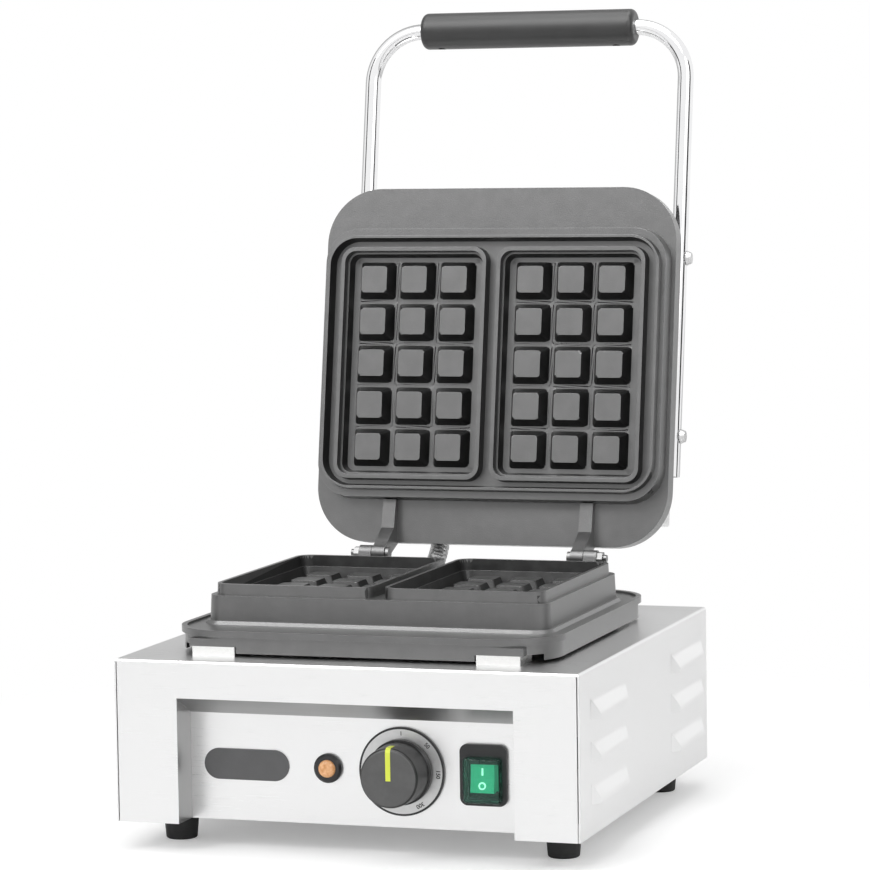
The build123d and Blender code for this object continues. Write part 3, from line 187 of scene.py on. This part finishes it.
def group_sockets(tree, inputs, outputs):
    """Names the group's sockets: (name, kind, default) in, (name, kind) out."""
    for name, kind, default in inputs:
        socket = tree.interface.new_socket(name=name, in_out="INPUT", socket_type=kind)
        if default is not None:
            socket.default_value = default
    for name, kind in outputs:
        tree.interface.new_socket(name=name, in_out="OUTPUT", socket_type=kind)
    return tree.nodes.new("NodeGroupInput"), tree.nodes.new("NodeGroupOutput")


def grain_group():
    """Brushed grain: fine streaks along one axis, set by the scale of each axis."""
    tree = bpy.data.node_groups.new("brushed_grain", "ShaderNodeTree")
    given, result = group_sockets(
        tree,
        [
            ("Vector", "NodeSocketVector", None),
            ("Stretch", "NodeSocketVector", (30.0, 4000.0, 4000.0)),
            ("Low", "NodeSocketFloat", 0.25),
            ("High", "NodeSocketFloat", 0.4),
        ],
        [("Roughness", "NodeSocketFloat"), ("Height", "NodeSocketFloat")],
    )
    scaled = node(tree, "ShaderNodeVectorMath", operation="MULTIPLY")
    streaks = node(tree, "ShaderNodeTexNoise", inputs={"Scale": 1.0, "Detail": 3.0, "Roughness": 0.6})
    patches = node(tree, "ShaderNodeTexNoise", inputs={"Scale": 14.0, "Detail": 2.0})
    both = node(tree, "ShaderNodeMath", operation="MULTIPLY_ADD", inputs={1: 0.3})
    spread = node(tree, "ShaderNodeMapRange", inputs={"From Min": 0.4, "From Max": 0.85})
    tree.links.new(given.outputs["Vector"], scaled.inputs[0])
    tree.links.new(given.outputs["Stretch"], scaled.inputs[1])
    tree.links.new(scaled.outputs[0], streaks.inputs["Vector"])
    tree.links.new(given.outputs["Vector"], patches.inputs["Vector"])
    tree.links.new(patches.outputs["Fac"], both.inputs[0])
    tree.links.new(streaks.outputs["Fac"], both.inputs[2])
    tree.links.new(both.outputs[0], spread.inputs["Value"])
    tree.links.new(given.outputs["Low"], spread.inputs["To Min"])
    tree.links.new(given.outputs["High"], spread.inputs["To Max"])
    tree.links.new(spread.outputs["Result"], result.inputs["Roughness"])
    tree.links.new(streaks.outputs["Fac"], result.inputs["Height"])
    return tree


def speckle_group():
    """Cast or moulded surface: fine pores over slow waves, with a mask for worn or dusty spots."""
    tree = bpy.data.node_groups.new("surface_speckle", "ShaderNodeTree")
    given, result = group_sockets(
        tree,
        [
            ("Vector", "NodeSocketVector", None),
            ("Fine", "NodeSocketFloat", 900.0),
            ("Coarse", "NodeSocketFloat", 60.0),
            ("Waves", "NodeSocketFloat", 0.5),
        ],
        [("Height", "NodeSocketFloat"), ("Mask", "NodeSocketFloat")],
    )
    fine = node(tree, "ShaderNodeTexNoise", inputs={"Detail": 4.0, "Roughness": 0.6})
    coarse = node(tree, "ShaderNodeTexNoise", inputs={"Detail": 3.0, "Roughness": 0.55})
    mixed = node(tree, "ShaderNodeMath", operation="MULTIPLY_ADD")
    mask = node(tree, "ShaderNodeMapRange", inputs={"From Min": 0.35, "From Max": 0.7})
    tree.links.new(given.outputs["Vector"], fine.inputs["Vector"])
    tree.links.new(given.outputs["Vector"], coarse.inputs["Vector"])
    tree.links.new(given.outputs["Fine"], fine.inputs["Scale"])
    tree.links.new(given.outputs["Coarse"], coarse.inputs["Scale"])
    tree.links.new(coarse.outputs["Fac"], mixed.inputs[0])
    tree.links.new(given.outputs["Waves"], mixed.inputs[1])
    tree.links.new(fine.outputs["Fac"], mixed.inputs[2])
    tree.links.new(coarse.outputs["Fac"], mask.inputs["Value"])
    tree.links.new(mixed.outputs[0], result.inputs["Height"])
    tree.links.new(mask.outputs["Result"], result.inputs["Mask"])
    return tree


GRAIN = grain_group()
SPECKLE = speckle_group()


def add_bump(tree, shader, height, strength, distance):
    bump = node(tree, "ShaderNodeBump", inputs={"Strength": strength, "Distance": distance})
    tree.links.new(height, bump.inputs["Height"])
    tree.links.new(bump.outputs["Normal"], shader.inputs["Normal"])


def brushed_steel(name, color, low, high, stretch, strength=0.06):
    """Sheet steel brushed along the axis with the small stretch."""
    material, tree, shader = new_material(name, color, high, metallic=1.0)
    grain = node(
        tree, "ShaderNodeGroup", node_tree=GRAIN, inputs={"Stretch": stretch, "Low": low, "High": high}
    )
    tree.links.new(object_coords(tree), grain.inputs["Vector"])
    tree.links.new(grain.outputs["Roughness"], shader.inputs["Roughness"])
    add_bump(tree, shader, grain.outputs["Height"], strength, 0.0002)
    return material


def speckled(
    name, dark, light, rough, rough_worn, fine, coarse, waves, strength, distance, metallic=0.0, **sockets
):
    """A moulded or cast surface whose colour and roughness drift between two values."""
    material, tree, shader = new_material(name, dark, rough, metallic=metallic, **sockets)
    speckle = node(
        tree, "ShaderNodeGroup", node_tree=SPECKLE, inputs={"Fine": fine, "Coarse": coarse, "Waves": waves}
    )
    tree.links.new(object_coords(tree), speckle.inputs["Vector"])
    tint = node(tree, "ShaderNodeMix", data_type="RGBA", inputs={6: (*dark, 1), 7: (*light, 1)})
    tree.links.new(speckle.outputs["Mask"], tint.inputs["Factor"])
    tree.links.new(tint.outputs[2], shader.inputs["Base Color"])
    sheen = node(tree, "ShaderNodeMapRange", inputs={"To Min": rough, "To Max": rough_worn})
    tree.links.new(speckle.outputs["Mask"], sheen.inputs["Value"])
    tree.links.new(sheen.outputs["Result"], shader.inputs["Roughness"])
    add_bump(tree, shader, speckle.outputs["Height"], strength, distance)
    return material


FRONT_STEEL = brushed_steel("front_steel", (0.9, 0.9, 0.9), 0.26, 0.36, (25.0, 3500.0, 3500.0))
LID_STEEL = brushed_steel("lid_steel", (0.88, 0.88, 0.88), 0.22, 0.32, (25.0, 3500.0, 3500.0))
BRACKET_STEEL = brushed_steel("bracket_steel", (0.86, 0.86, 0.85), 0.22, 0.34, (3000.0, 60.0, 3000.0))
CAST_COAT = speckled(
    "cast_coat", (0.155, 0.155, 0.155), (0.172, 0.172, 0.172),
    0.33, 0.37, 1500.0, 90.0, 0.7, 0.4, 0.0004,
    metallic=0.8, coat_weight=0.5, coat_roughness=0.28,
)
# Lighter copy of the coat for the strips along outward edges: a painted highlight.
CAST_EDGE_HIGHLIGHT = speckled(
    "cast_coat_edge_highlight", (0.34, 0.34, 0.34), (0.46, 0.46, 0.46),
    0.26, 0.34, 1500.0, 140.0, 0.8, 0.2, 0.0003,
    metallic=0.9, coat_weight=0.4, coat_roughness=0.25,
)
# Near-black copy of the coat for the block and basin walls: painted shade in the hollows.
CAST_PAINTED_SHADE = speckled(
    "cast_coat_painted_shade", (0.035, 0.035, 0.035), (0.055, 0.055, 0.055),
    0.34, 0.44, 1500.0, 90.0, 1.2, 0.25, 0.0004,
    metallic=0.7, coat_weight=0.2, coat_roughness=0.3,
)
# Darker copy of the front steel for the recess's cheeks and sloped top: painted shade.
RECESS_SHADE_STEEL = brushed_steel("recess_steel_painted_shade", (0.4, 0.4, 0.4), 0.3, 0.42, (25.0, 3500.0, 3500.0))
PIN_STEEL = speckled(
    "pin_steel", (0.2, 0.2, 0.2), (0.3, 0.3, 0.3),
    0.3, 0.42, 1500.0, 120.0, 0.6, 0.06, 0.0001, metallic=1.0
)
CHROME = speckled(
    "chrome_tube", (0.86, 0.86, 0.87), (0.9, 0.9, 0.9),
    0.05, 0.1, 700.0, 40.0, 0.4, 0.02, 0.0001, metallic=1.0
)
GRIP = speckled(
    "grip_moulding", (0.02, 0.02, 0.02), (0.028, 0.028, 0.028),
    0.38, 0.46, 1200.0, 50.0, 0.6, 0.08, 0.0002,
    metallic=0.2, coat_weight=0.5, coat_roughness=0.4,
)
RUBBER = speckled(
    "foot_rubber", (0.018, 0.018, 0.018), (0.032, 0.032, 0.032),
    0.62, 0.75, 1600.0, 120.0, 0.6, 0.2, 0.0002
)
KNOB = speckled(
    "knob_moulding", (0.09, 0.09, 0.09), (0.105, 0.105, 0.105),
    0.36, 0.42, 2400.0, 200.0, 0.3, 0.15, 0.0001
)
# Near-black copy of the knob's moulding for its flanks, beside the lighter grey of its face: painted light
# and shade on one moulding.
KNOB_FLANK_SHADE = speckled(
    "knob_flank_painted_shade", (0.014, 0.014, 0.014), (0.02, 0.02, 0.02), 0.3, 0.36, 2400.0, 200.0, 0.3, 0.08, 0.0001
)
TRIM = speckled(
    "black_moulding", (0.016, 0.016, 0.017), (0.026, 0.026, 0.027),
    0.3, 0.42, 1800.0, 90.0, 0.4, 0.08, 0.0001
)
BADGE = speckled(
    "badge_moulding", (0.1, 0.1, 0.102), (0.112, 0.112, 0.115),
    0.3, 0.36, 1500.0, 80.0, 0.4, 0.03, 0.0001
)
DIAL = speckled(
    "dial_silver", (0.62, 0.62, 0.62), (0.7, 0.7, 0.7),
    0.3, 0.38, 2500.0, 120.0, 0.3, 0.05, 0.0001, metallic=0.85
)
MARK = speckled(
    "dial_ink", (0.01, 0.01, 0.01), (0.016, 0.016, 0.016),
    0.5, 0.6, 2000.0, 90.0, 0.4, 0.05, 0.0001
)
POINTER = speckled(
    "pointer_inlay", (0.72, 0.8, 0.06), (0.78, 0.86, 0.1), 0.35, 0.45, 1500.0, 90.0, 0.4, 0.04, 0.0001
)
LENS = speckled(
    "amber_lens", (0.62, 0.26, 0.08), (0.85, 0.5, 0.25), 0.14, 0.2, 1400.0, 500.0, 1.5, 0.2, 0.0003,
    coat_weight=0.6, emission_color=(1.0, 0.55, 0.28, 1.0), emission_strength=0.12,
)
ROCKER = speckled(
    "rocker_green", (0.05, 0.55, 0.33), (0.08, 0.6, 0.38), 0.3, 0.4, 1500.0, 90.0, 0.4, 0.04, 0.0001,
    emission_color=(0.05, 0.62, 0.36, 1.0), emission_strength=0.25,
)
PALE_MARK = speckled(
    "switch_mark", (0.8, 0.95, 0.88), (0.85, 1.0, 0.92), 0.4, 0.5, 1500.0, 90.0, 0.4, 0.04, 0.0001,
    emission_color=(0.8, 1.0, 0.9, 1.0), emission_strength=0.9,
)
BOOT = speckled(
    "splash_boot", (0.45, 0.8, 0.68), (0.5, 0.84, 0.72), 0.02, 0.05, 1200.0, 90.0, 0.6, 0.01, 0.0001,
    transmission_weight=0.96, ior=1.25,
)
PLATED = speckled(
    "plated_steel", (0.62, 0.62, 0.62), (0.74, 0.74, 0.74),
    0.22, 0.34, 1500.0, 200.0, 0.6, 0.05, 0.0001, metallic=1.0
)
CONDUIT = speckled(
    "wound_steel", (0.4, 0.4, 0.4), (0.55, 0.55, 0.55),
    0.28, 0.4, 1800.0, 160.0, 0.6, 0.1, 0.0001, metallic=1.0
)
SHEATH = speckled(
    "element_sheath", (0.2, 0.18, 0.16), (0.3, 0.26, 0.22),
    0.4, 0.55, 1500.0, 100.0, 0.6, 0.1, 0.0002, metallic=1.0
)
COPPER = speckled(
    "drawn_copper", (0.5, 0.24, 0.14), (0.62, 0.32, 0.2),
    0.3, 0.42, 1500.0, 100.0, 0.6, 0.05, 0.0001, metallic=1.0
)
WOOL = speckled(
    "mineral_wool", (0.5, 0.47, 0.38), (0.62, 0.58, 0.48),
    0.9, 0.98, 900.0, 120.0, 1.5, 0.7, 0.002
)

FINISHES = {
    "casing_shell": FRONT_STEEL,
    "control_panel": FRONT_STEEL,
    "rear_panel": FRONT_STEEL,
    "base_plate": FRONT_STEEL,
    "upper_cover": LID_STEEL,
    "lower_plate": CAST_COAT,
    "upper_plate": CAST_COAT,
    "handle_tube": CHROME,
    "handle_grip": GRIP,
    "knob": KNOB,
    "knob_pointer": POINTER,
    "dial_ring": TRIM,
    "dial_face": DIAL,
    "badge_plate": BADGE,
    "lamp_bezel": TRIM,
    "lamp_lens": LENS,
    "switch_frame": TRIM,
    "switch_boot": BOOT,
    "rocker": ROCKER,
    "rocker_marks": PALE_MARK,
    "conduit": CONDUIT,
    "thermostat_bulb": COPPER,
    "lid_insulation": WOOL,
    "hinge_pin_left": PIN_STEEL,
    "hinge_pin_right": PIN_STEEL,
    "hinge_nut_left": PIN_STEEL,
    "hinge_nut_right": PIN_STEEL,
}
SLOT_FINISHES = {
    "stainless": BRACKET_STEEL,
    "foot_rubber": RUBBER,
    "black_trim": TRIM,
    "element_steel": SHEATH,
    "zinc_screw": PLATED,
}
slot_of = {entry["node"]: entry["material_slot"] for entry in frame["record"]["subparts"]}


def finish_nodes():
    """Gives every carried-over CAD node its finish."""
    for name, thing in frame["nodes"].items():
        finish = FINISHES.get(name) or SLOT_FINISHES.get(slot_of.get(name), PLATED)
        for spot in thing.material_slots:
            spot.material = finish


# Softened copies of the CAD nodes whose edges catch the light


def sharp_edges(work, angle):
    return [e for e in work.edges if e.is_manifold and e.calc_face_angle(0) > radians(angle)]


def is_block_corner(edge, up):
    """A slanted edge that runs from a block's foot to its top."""
    run = edge.verts[1].co - edge.verts[0].co
    return abs(abs(run.dot(up)) - BLOCK_HEIGHT) < 0.4 * MM and run.length > 1.03 * BLOCK_HEIGHT


def is_highlight_strip(face):
    """A narrow strip along an outward edge, which takes the painted highlight: both long neighbours fall
    away from it.
    """
    long_edges = sorted(face.edges, key=lambda e: e.calc_length())[-2:]
    return all(e.is_manifold and e.calc_face_angle_signed(0) > radians(6) for e in long_edges)


def round_edges(work, edges, width, segments):
    """Rounds the edges and returns the faces of the rounding."""
    made = bmesh.ops.bevel(
        work,
        geom=edges,
        offset=width,
        offset_type="OFFSET",
        segments=segments,
        profile=0.5,
        affect="EDGES",
        clamp_overlap=True,
        material=-1,
    )
    return made["faces"]


def softened(
    name, body, width, segments=2, angle=28.0, second=None, chosen=None, up=None, edge=None
):
    """A copy of a CAD node with its doubles merged and its sharp edges rounded.

    Faces for which chosen(centre, normal) holds take the second finish, a darker copy that paints shade on
    them. Where up is given, the slanted corner edges of the blocks that stand along it are rounded first,
    and more.
    The outward edges take the edge finish, a lighter copy that paints a highlight along them.
    """
    source = frame["nodes"][name]
    mesh = source.data.copy()
    mesh.name = name + "_soft"
    piece = bpy.data.objects.new(name + "_soft", mesh)
    bpy.context.collection.objects.link(piece)
    work = bmesh.new()
    work.from_mesh(mesh)
    bmesh.ops.remove_doubles(work, verts=work.verts, dist=DOUBLE_GAP)
    if up:
        corners = [e for e in sharp_edges(work, angle) if is_block_corner(e, up)]
        round_edges(work, corners, BLOCK_CORNER, 3)
    sharp = sharp_edges(work, angle)
    rounded = round_edges(work, sharp, width, segments)
    mesh.materials.clear()
    for face in work.faces:
        face.material_index = int(bool(chosen and chosen(face.calc_center_median(), face.normal)))
    if edge:
        # Strips along outward edges take the lighter finish: a painted highlight.
        for face in rounded:
            if face.is_valid and is_highlight_strip(face):
                face.material_index = 2
    work.to_mesh(mesh)
    work.free()
    mesh.materials.append(FINISHES.get(name) or SLOT_FINISHES.get(slot_of[name], PLATED))
    if second:
        mesh.materials.append(second)
    if edge:
        mesh.materials.append(edge)
    for polygon in mesh.polygons:
        polygon.use_smooth = True
    mesh.set_sharp_from_angle(angle=radians(50))
    weigh = piece.modifiers.new("weigh", "WEIGHTED_NORMAL")
    weigh.keep_sharp = True
    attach(piece, body)
    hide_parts(name)
    return piece


def stage_plane(name, finish, size):
    """A flat square of the stage, which is not part of the object."""
    mesh = bpy.data.meshes.new(name)
    work = bmesh.new()
    bmesh.ops.create_grid(work, x_segments=1, y_segments=1, size=size)
    work.to_mesh(mesh)
    work.free()
    mesh.materials.append(finish)
    plane = bpy.data.objects.new(name, mesh)
    bpy.context.collection.objects.link(plane)
    return plane


def hide_from_photo(plane):
    """Leaves a plane to be seen in mirrored views only."""
    plane.visible_camera = False
    plane.visible_diffuse = False
    plane.visible_shadow = False


def aim(thing, place, target, axis="Z"):
    """Moves a thing to its place and turns the named axis to the target."""
    thing.location = place
    thing.rotation_euler = (Vector(target) - Vector(place)).to_track_quat(axis, "Y").to_euler()


def make_floor_and_lights():
    """A pale floor, a white surround and soft lamps."""
    material, tree, shader = new_material("floor_paper", (0.86, 0.86, 0.86), 0.9)
    lift = node(tree, "ShaderNodeEmission", inputs={"Color": WHITE, "Strength": FLOOR_LIFT})
    paper_white = node(tree, "ShaderNodeEmission", inputs={"Color": WHITE, "Strength": 1.0})
    add = tree.nodes.new("ShaderNodeAddShader")
    fade = tree.nodes.new("ShaderNodeMixShader")
    choose = tree.nodes.new("ShaderNodeMixShader")
    path = tree.nodes.new("ShaderNodeLightPath")
    reach = node(tree, "ShaderNodeVectorMath", operation="LENGTH")
    ramp = node(
        tree, "ShaderNodeMapRange", interpolation_type="SMOOTHSTEP",
        inputs={"From Min": FADE_START, "From Max": FADE_END},
    )
    out = tree.nodes["Material Output"]
    tree.links.new(object_coords(tree), reach.inputs[0])
    tree.links.new(reach.outputs["Value"], ramp.inputs["Value"])
    tree.links.new(shader.outputs[0], add.inputs[0])
    tree.links.new(lift.outputs[0], add.inputs[1])
    tree.links.new(ramp.outputs["Result"], fade.inputs[0])
    tree.links.new(add.outputs[0], fade.inputs[1])
    tree.links.new(paper_white.outputs[0], fade.inputs[2])
    tree.links.new(path.outputs["Is Camera Ray"], choose.inputs[0])
    tree.links.new(shader.outputs[0], choose.inputs[1])
    tree.links.new(fade.outputs[0], choose.inputs[2])
    tree.links.new(choose.outputs[0], out.inputs["Surface"])
    stage_plane("floor", material, FLOOR_SIZE)

    world = bpy.data.worlds.new("surround")
    world.use_nodes = True
    bpy.context.scene.world = world
    tree = world.node_tree
    background = tree.nodes["Background"]
    background.inputs["Color"].default_value = WHITE
    path = tree.nodes.new("ShaderNodeLightPath")
    direction = tree.nodes.new("ShaderNodeTexCoord")
    parts = tree.nodes.new("ShaderNodeSeparateXYZ")
    across = node(
        tree, "ShaderNodeMapRange", interpolation_type="SMOOTHSTEP",
        inputs={"From Min": -0.45, "From Max": 0.35, "To Min": DIM_SURROUND, "To Max": 1.0},
    )
    behind = node(
        tree, "ShaderNodeMapRange", interpolation_type="SMOOTHSTEP",
        inputs={"From Min": -0.1, "From Max": 0.5},
    )
    mirrored = node(tree, "ShaderNodeMix", data_type="FLOAT", inputs={"A": 1.0})
    lit = node(tree, "ShaderNodeMix", data_type="FLOAT", inputs={"A": LIGHTING_LEVEL})
    level = node(tree, "ShaderNodeMix", data_type="FLOAT", inputs={"B": 1.0})
    clear = node(tree, "ShaderNodeMath", operation="MAXIMUM")
    tree.links.new(direction.outputs["Generated"], parts.inputs[0])
    tree.links.new(parts.outputs["X"], across.inputs["Value"])
    tree.links.new(parts.outputs["Y"], behind.inputs["Value"])
    tree.links.new(behind.outputs["Result"], mirrored.inputs["Factor"])
    tree.links.new(across.outputs["Result"], mirrored.inputs["B"])
    tree.links.new(path.outputs["Is Glossy Ray"], lit.inputs["Factor"])
    tree.links.new(mirrored.outputs["Result"], lit.inputs["B"])
    tree.links.new(path.outputs["Is Camera Ray"], clear.inputs[0])
    tree.links.new(path.outputs["Is Transmission Ray"], clear.inputs[1])
    tree.links.new(clear.outputs[0], level.inputs["Factor"])
    tree.links.new(lit.outputs["Result"], level.inputs["A"])
    tree.links.new(level.outputs["Result"], background.inputs["Strength"])

    for name, place, width, height in CARDS:
        card_finish, _, _ = new_material(name + "_paper", (0.02, 0.02, 0.02), 0.9)
        card = stage_plane(name, card_finish, 0.5)
        aim(card, place, (0, 0, place[2]))
        card.scale = (width, height, 1)
        hide_from_photo(card)

    box_finish, box_tree, _ = new_material("softbox_cloth", (0.9, 0.9, 0.9), 0.9)
    glow = node(box_tree, "ShaderNodeEmission", inputs={"Color": WHITE, "Strength": SOFTBOX_LEVEL})
    box_tree.links.new(glow.outputs[0], box_tree.nodes["Material Output"].inputs["Surface"])
    softbox = stage_plane("softbox", box_finish, 0.5)
    aim(softbox, SOFTBOX_PLACE, SOFTBOX_AIM)
    softbox.scale = (SOFTBOX_WIDTH, SOFTBOX_HEIGHT, 1)
    hide_from_photo(softbox)

    for name, place, size, watts in LAMPS:
        data = bpy.data.lights.new(name, "AREA")
        data.shape = "DISK"
        data.size = size
        data.energy = watts
        lamp = bpy.data.objects.new(name, data)
        bpy.context.collection.objects.link(lamp)
        aim(lamp, place, LAMP_AIM, "-Z")
    bpy.context.scene.view_settings.view_transform = "Standard"


place_camera()
make_floor_and_lights()
finish_nodes()

PANEL_LOW, PANEL_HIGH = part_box("control_panel")
BASIN_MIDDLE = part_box("lower_plate")[0].y + PLATE_HALF_LENGTH


def in_recess(centre, normal):
    """The cheeks and the sloped top of the control recess, which take the darker steel as painted shade.
    """
    inside = PANEL_LOW.x < centre.x < PANEL_HIGH.x and centre.z < PANEL_HIGH.z + RECESS_OVER_PANEL
    inside = inside and centre.y < PANEL_HIGH.y
    front_face = normal.y < FRONTWARD
    return inside and not front_face


# Faces that do not face the front take the painted shade.
def on_knob_flank(centre, normal):
    return normal.y > FRONTWARD


def in_lower_basin(centre, normal):
    """The walls of the lower blocks and of the two basins, inside the rims, which take the painted shade.
    """
    inside = BASIN_IN < abs(centre.x) < BASIN_OUT
    inside = inside and abs(centre.y - BASIN_MIDDLE) < BASIN_HALF_LENGTH
    return inside and centre.z < RIM_TOP - UNDER_RIM and normal.z < CASTING_TOP


def in_lid_hollow(centre, normal):
    """The walls of the upper blocks, of the basins and of the groove round them, which take the painted
    shade.
    """
    place = centre - LID_HINGE
    inside = abs(centre.x) < HOLLOW_HALF_WIDTH
    inside = inside and abs(place.dot(LID_UP) - LID_MIDDLE) < HOLLOW_HALF_LENGTH
    above_floor = place.dot(LID_OUT) > LID_FLOOR - UNDER_FLOOR
    return inside and above_floor and normal.dot(LID_OUT) < HOLLOW_TOP


# The recess cheeks and sloped top take the darker steel: painted shade.
softened("casing_shell", "base", CASING_EDGE, second=RECESS_SHADE_STEEL, chosen=in_recess)
# Block and basin walls take the near-black coat: painted shade.
for plate, body, mask, out in (
    ("lower_plate", "base", in_lower_basin, UPRIGHT),
    ("upper_plate", "lid", in_lid_hollow, LID_OUT),
):
    # Outward edge strips take the lighter coat: a painted highlight.
    softened(plate, body, CASTING_EDGE, second=CAST_PAINTED_SHADE, chosen=mask, up=out, edge=CAST_EDGE_HIGHLIGHT)
softened("upper_cover", "lid", COVER_EDGE)
# The knob's flanks take the near-black copy: painted shade.
softened("knob", "knob_set", KNOB_EDGE, second=KNOB_FLANK_SHADE, chosen=on_knob_flank)


def place_on_dial(mesh, turn):
    """Lays a flat mesh on the dial's face, turned clockwise as the user sees it."""
    low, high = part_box("dial_ring")
    centre = Vector(((low.x + high.x) / 2, low.y - DIAL_LIFT, (low.z + high.z) / 2))
    stand = Matrix.Rotation(pi / 2, 4, "X")
    mesh.transform(Matrix.Translation(centre) @ Matrix.Rotation(turn, 4, "Y") @ stand)


def flat_piece(name, work, finish, body):
    mesh = bpy.data.meshes.new(name)
    work.to_mesh(mesh)
    work.free()
    mesh.materials.append(finish)
    piece = bpy.data.objects.new(name, mesh)
    bpy.context.collection.objects.link(piece)
    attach(piece, body)
    return piece


def make_dial():
    """The silver ring round the knob with its printed numbers."""
    work = bmesh.new()
    inner = bmesh.ops.create_circle(work, segments=96, radius=RING_IN)
    outer = bmesh.ops.create_circle(work, segments=96, radius=RING_OUT)
    rings = [e for group in (inner, outer) for v in group["verts"] for e in v.link_edges]
    bmesh.ops.bridge_loops(work, edges=list(dict.fromkeys(rings)))
    bmesh.ops.recalc_face_normals(work, faces=work.faces)
    piece = flat_piece("dial_face", work, DIAL, "base")
    place_on_dial(piece.data, 0)
    for text, turn in DIAL_MARKS:
        curve = bpy.data.curves.new("mark_" + text, "FONT")
        curve.body = text
        curve.size = MARK_SIZE
        curve.offset = MARK_BOLD
        curve.align_x = "CENTER"
        curve.align_y = "CENTER"
        letters = bpy.data.objects.new("mark_" + text, curve)
        bpy.context.collection.objects.link(letters)
        mesh = bpy.data.meshes.new_from_object(letters)
        bpy.data.objects.remove(letters)
        mesh.transform(Matrix.Translation((0, MARK_RADIUS, 2 * DIAL_LIFT)))
        mesh.materials.clear()
        mesh.materials.append(MARK)
        mark = bpy.data.objects.new("mark_" + text, mesh)
        bpy.context.collection.objects.link(mark)
        place_on_dial(mesh, radians(turn))
        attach(mark, "base")


def make_conduit():
    """A smooth-shaded copy of the ribbed conduit that runs between the base and the lid."""
    mesh = frame["nodes"]["conduit"].data.copy()
    mesh.name = "conduit_bend"
    work = bmesh.new()
    work.from_mesh(mesh)
    bmesh.ops.remove_doubles(work, verts=work.verts, dist=DOUBLE_GAP)
    work.to_mesh(mesh)
    work.free()
    for polygon in mesh.polygons:
        polygon.use_smooth = True
    mesh.set_sharp_from_angle(angle=radians(35))
    mesh.materials.clear()
    mesh.materials.append(CONDUIT)
    piece = bpy.data.objects.new("conduit_bend", mesh)
    bpy.context.collection.objects.link(piece)
    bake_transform(piece)
    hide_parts("conduit")


make_dial()
make_conduit()
